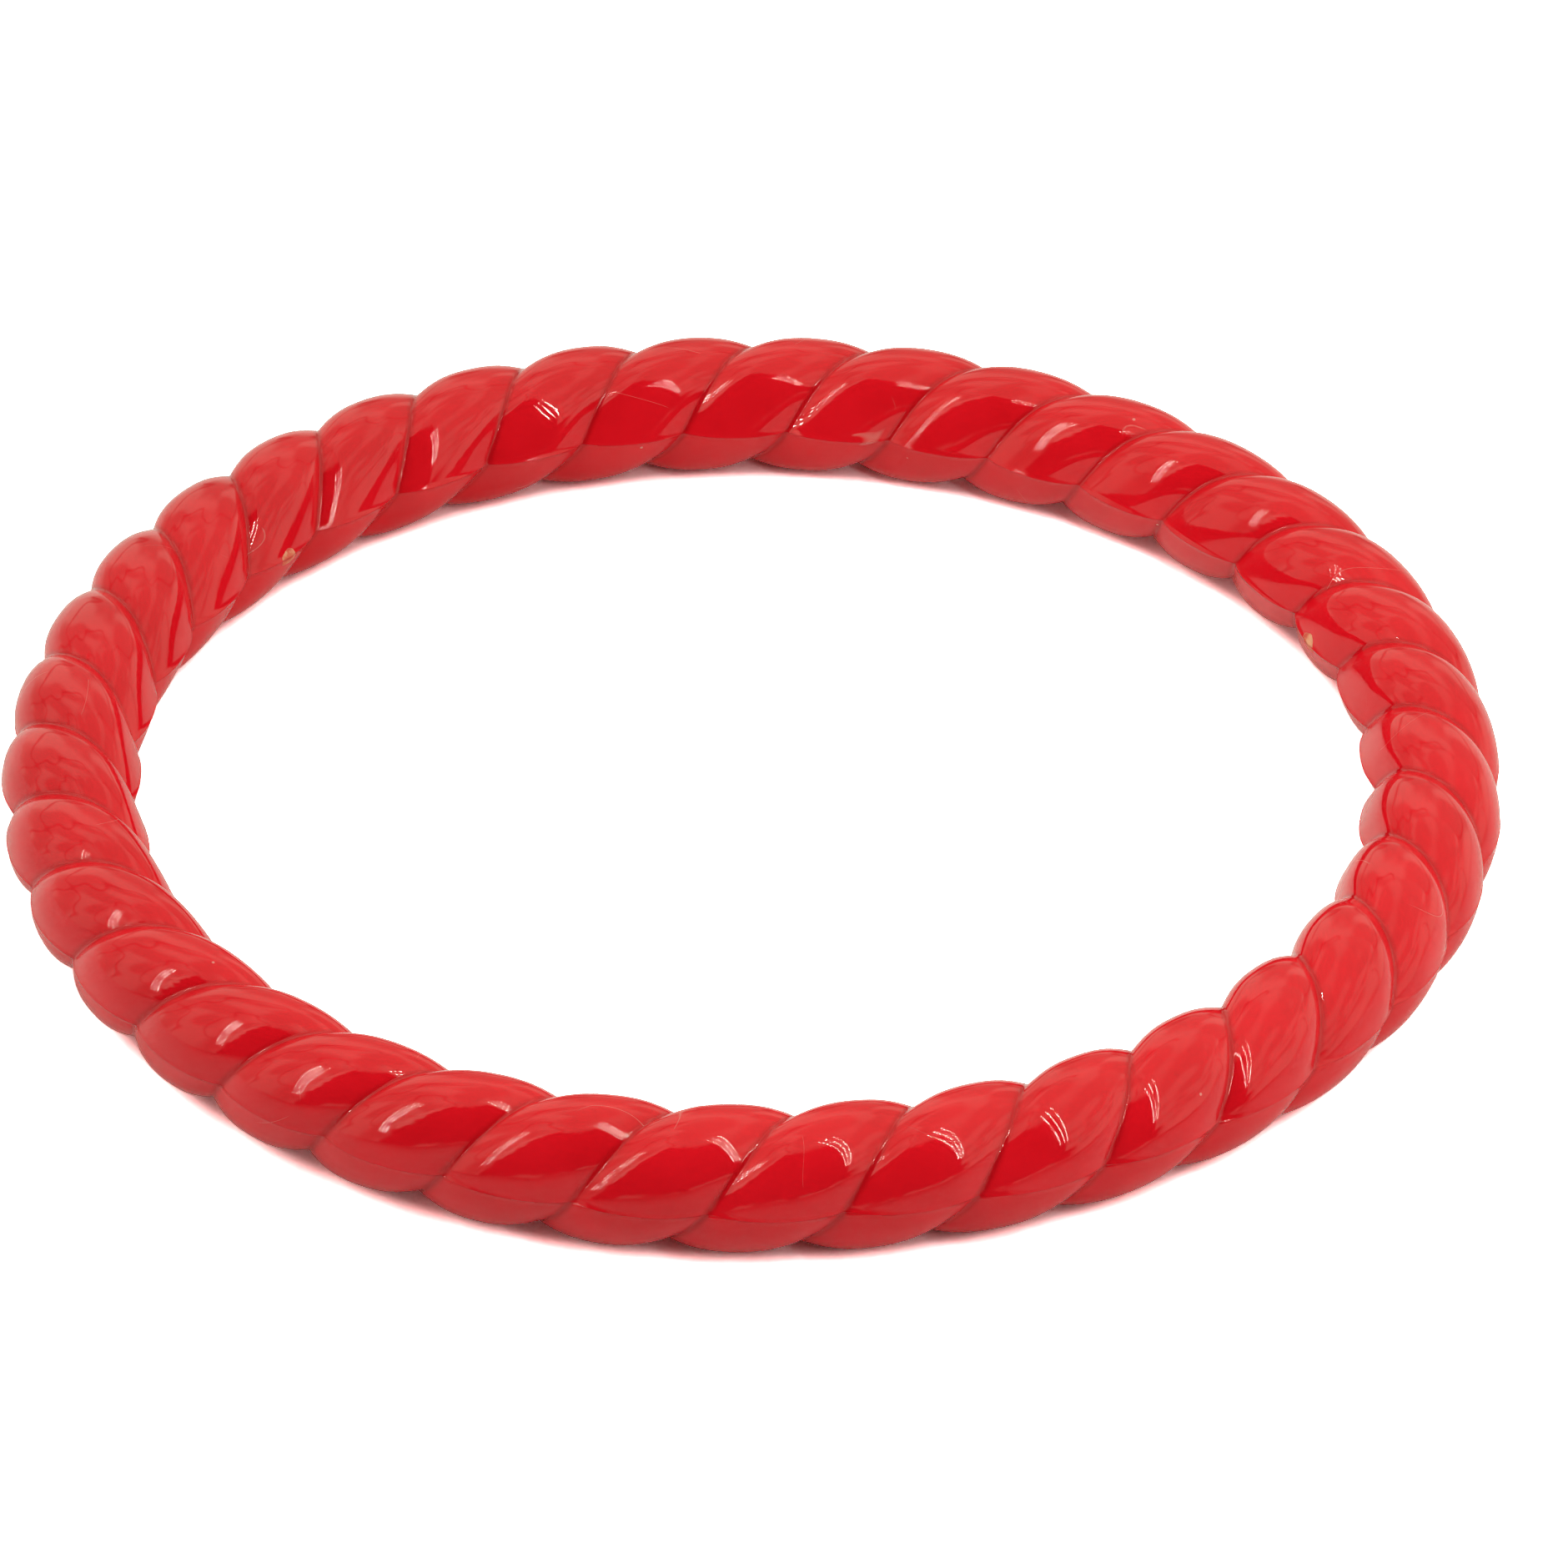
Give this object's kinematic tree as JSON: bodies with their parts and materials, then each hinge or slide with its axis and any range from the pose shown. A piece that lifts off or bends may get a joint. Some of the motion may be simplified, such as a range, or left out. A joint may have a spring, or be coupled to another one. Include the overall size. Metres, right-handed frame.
{
  "type": "twisted plastic ring",
  "caption": "Rigid one-piece ring of glossy plastic with a round, rope-twist section and an open eye, to toss, juggle or wear.",
  "frame": {"origin": "middle of the circle that the ring stands on, on its axis and level with its lowest points", "axes": "+Z along the ring's axis, upwards as it lies flat; +X and +Y in the plane of the ring"},
  "size_m": [0.0798, 0.0798, 0.0075],
  "materials": {
    "red_plastic": "high gloss"
  },
  "bodies": {
    "root": {"ring": "red_plastic"}
  },
  "joints": []
}
